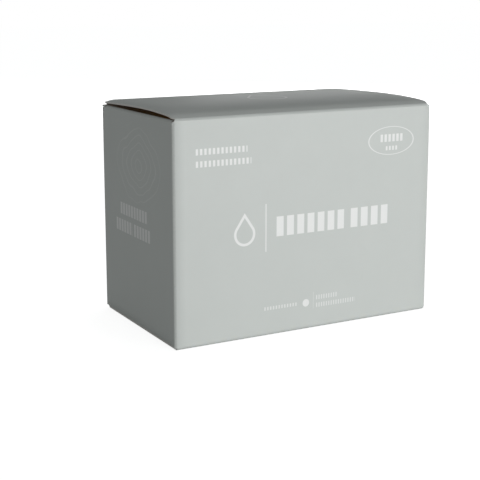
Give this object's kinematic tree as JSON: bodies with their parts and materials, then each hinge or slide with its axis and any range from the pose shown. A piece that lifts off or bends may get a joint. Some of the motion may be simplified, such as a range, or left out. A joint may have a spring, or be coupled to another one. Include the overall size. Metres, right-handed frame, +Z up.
{
  "type": "laundry pod carton",
  "caption": "Folding paperboard carton of sealed laundry pods, with a lid that hinges at the front and tucks in at the back.",
  "frame": {"origin": "centre of the carton's outline, on the plane of its base", "axes": "+Z up, +X to the right as the large front panel is faced, +Y from the front panel to the back"},
  "size_m": [0.192, 0.112, 0.1465],
  "materials": {
    "carton_board": "satin",
    "lid_board": "satin",
    "pod_film": "gloss",
    "pod_liquid": "gloss"
  },
  "bodies": {
    "carton": {"carton_body": "carton_board", "pod_01": "pod_film", "pod_02": "pod_film", "pod_03": "pod_film", "pod_04": "pod_film", "pod_05": "pod_film", "pod_06": "pod_film", "pod_07": "pod_film", "pod_08": "pod_film", "pod_09": "pod_film", "pod_10": "pod_film", "pod_11": "pod_film", "pod_12": "pod_film", "pod_13": "pod_film", "pod_14": "pod_film", "pod_15": "pod_film", "pod_16": "pod_film", "pod_17": "pod_film", "pod_18": "pod_film", "pod_19": "pod_film", "pod_20": "pod_film", "pod_21": "pod_film", "pod_22": "pod_film", "pod_23": "pod_film", "pod_24": "pod_film", "pod_25": "pod_film", "pod_26": "pod_film", "pod_27": "pod_film", "pod_28": "pod_film", "pod_29": "pod_film", "pod_30": "pod_film", "pod_31": "pod_film", "pod_32": "pod_film", "pod_33": "pod_film", "pod_34": "pod_film", "pod_35": "pod_film", "pod_36": "pod_film", "pod_37": "pod_film", "pod_38": "pod_film", "pod_39": "pod_film", "pod_40": "pod_film", "pod_41": "pod_film", "pod_42": "pod_film", "pod_43": "pod_film", "pod_44": "pod_film", "pod_45": "pod_film"},
    "lid": {"lid": "lid_board"}
  },
  "joints": [
    {"name": "lid_hinge", "type": "hinge", "parent": "carton", "child": "lid", "pos_m": [0, -0.0556, 0.1426], "axis": [1, 0, 0], "range_deg": [0, 180]}
  ]
}
